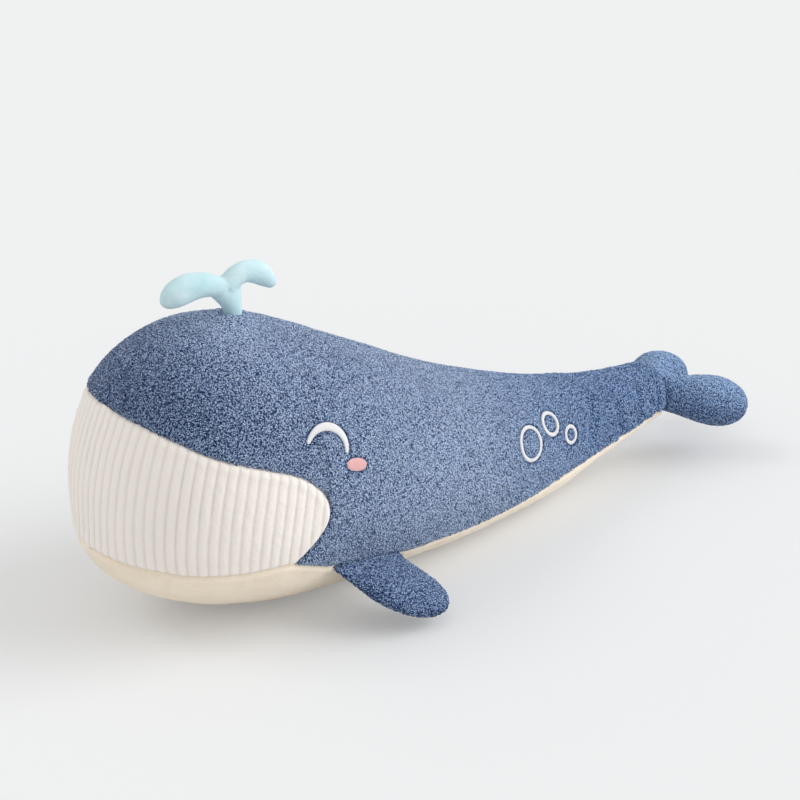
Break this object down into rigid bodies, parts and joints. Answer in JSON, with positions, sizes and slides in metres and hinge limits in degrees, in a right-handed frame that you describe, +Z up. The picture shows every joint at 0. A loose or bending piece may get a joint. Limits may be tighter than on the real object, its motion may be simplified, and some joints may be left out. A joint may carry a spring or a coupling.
{
  "type": "plush whale",
  "caption": "Large stuffed plush whale cushion: fleece back, ribbed throat, smooth belly, soft fins and tail flukes that flap, and a small cloth water spout on its head.",
  "frame": {"origin": "under the middle of the bounding box, on the surface that the belly rests on", "axes": "+X from the snout to the tail, +Y to the whale's right side, +Z up"},
  "size_m": [0.864, 0.3948, 0.3685],
  "materials": {
    "blue_fleece": "curly fleece",
    "ribbed_plush": "ribbed short pile",
    "cream_plush": "smooth short pile",
    "mint_velvet": "smooth velvet",
    "white_thread": "satin stitch thread",
    "pink_thread": "satin stitch thread",
    "fibre_filling": "loose fibre"
  },
  "bodies": {
    "torso": {"back_left": "blue_fleece", "back_right": "blue_fleece", "throat": "ribbed_plush", "belly": "cream_plush", "body_filling": "fibre_filling", "eye_left": "white_thread", "cheek_left": "pink_thread", "eye_right": "white_thread", "cheek_right": "pink_thread", "bubble_large": "white_thread", "bubble_medium": "white_thread", "bubble_small": "white_thread"},
    "fin_left": {"fin_left_upper": "blue_fleece", "fin_left_lower": "blue_fleece", "fin_left_filling": "fibre_filling"},
    "fluke_left": {"fluke_left_upper": "blue_fleece", "fluke_left_lower": "blue_fleece", "fluke_left_filling": "fibre_filling"},
    "fin_right": {"fin_right_upper": "blue_fleece", "fin_right_lower": "blue_fleece", "fin_right_filling": "fibre_filling"},
    "fluke_right": {"fluke_right_upper": "blue_fleece", "fluke_right_lower": "blue_fleece", "fluke_right_filling": "fibre_filling"},
    "spout": {"spout_left": "mint_velvet", "spout_right": "mint_velvet", "spout_filling": "fibre_filling"}
  },
  "joints": [
    {"name": "fin_left_flap", "type": "hinge", "parent": "torso", "child": "fin_left", "pos_m": [-0.17295, -0.12811, 0.0569], "axis": [-0.9816, -0.1108, 0.1555], "range_deg": [-12, 60], "stiffness_Nm_per_rad": 0.12},
    {"name": "fin_right_flap", "type": "hinge", "parent": "torso", "child": "fin_right", "pos_m": [-0.17295, 0.12811, 0.0569], "axis": [0.9816, -0.1108, -0.1555], "range_deg": [-12, 60], "stiffness_Nm_per_rad": 0.12},
    {"name": "fluke_left_flap", "type": "hinge", "parent": "torso", "child": "fluke_left", "pos_m": [0.34822, -0.01649, 0.0785], "axis": [-0.5878, -0.809, 0], "range_deg": [-30, 40], "stiffness_Nm_per_rad": 0.3},
    {"name": "fluke_right_flap", "type": "hinge", "parent": "torso", "child": "fluke_right", "pos_m": [0.34822, 0.01649, 0.0785], "axis": [0.5878, -0.809, 0], "range_deg": [-30, 40], "stiffness_Nm_per_rad": 0.3},
    {"name": "spout_sway", "type": "hinge", "parent": "torso", "child": "spout", "pos_m": [-0.25205, 0, 0.31866], "axis": [1, 0, 0], "range_deg": [-40, 40], "stiffness_Nm_per_rad": 0.06}
  ]
}
